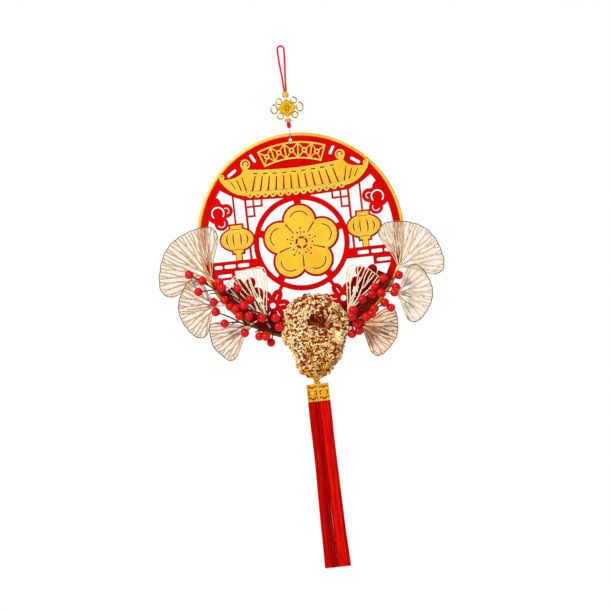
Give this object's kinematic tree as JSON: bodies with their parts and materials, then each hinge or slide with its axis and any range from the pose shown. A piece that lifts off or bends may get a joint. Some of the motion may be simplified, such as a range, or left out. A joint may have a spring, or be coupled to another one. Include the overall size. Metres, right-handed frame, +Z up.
{
  "type": "tassel hanging",
  "caption": "Round red and gold fretwork wall hanging on a cord loop, with gold ginkgo leaves, red berries, a gold flower head and a long red double tassel",
  "frame": {"origin": "the inside top of the hanging loop, where the nail or hook bears; the hanging is below it", "axes": "+Z up the hanging, -Y out of its decorated front, +X to the right seen from the front"},
  "size_m": [0.3433, 0.0511, 0.6338],
  "materials": {
    "red_cord": "braided polyester cord and thread, matte",
    "bead_gold": "gold-plated bead, polished",
    "charm_gold": "gold-plated moulding, polished",
    "brass_wire": "thin bright wire",
    "hoop_gold": "pale gold hoop, satin",
    "panel_red": "red fretwork board, matte",
    "overlay_gold": "golden yellow board, satin",
    "leaf_gold": "champagne-gold filigree, metallic",
    "berry_red": "glossy red berries on wrapped stems",
    "flower_gold": "gold tinsel florets, sparkling",
    "tassel_red": "silky red thread"
  },
  "bodies": {
    "root": {"hang_cord": "red_cord", "bead_top": "bead_gold", "knot_charm": "charm_gold", "knot_plaque": "charm_gold", "bead_low": "bead_gold", "thread_wrap": "red_cord", "link_wire": "brass_wire", "hoop": "hoop_gold", "panel": "panel_red", "roof": "overlay_gold", "crest": "overlay_gold", "blossom": "overlay_gold", "lantern_left": "overlay_gold", "lantern_right": "overlay_gold", "leaf_left_top": "leaf_gold", "leaf_left_middle": "leaf_gold", "leaf_left_low": "leaf_gold", "leaf_left_inner": "leaf_gold", "leaf_right_top": "leaf_gold", "leaf_right_middle": "leaf_gold", "leaf_right_low": "leaf_gold", "leaf_right_inner": "leaf_gold", "spray_left_high": "berry_red", "spray_left_middle": "berry_red", "spray_left_low": "berry_red", "spray_right_high": "berry_red", "spray_right_middle": "berry_red", "spray_right_low": "berry_red", "gold_flower": "flower_gold", "bead_tassel": "bead_gold", "cap_left": "charm_gold", "cap_right": "charm_gold", "tassel_left": "tassel_red", "tassel_right": "tassel_red"}
  },
  "joints": []
}
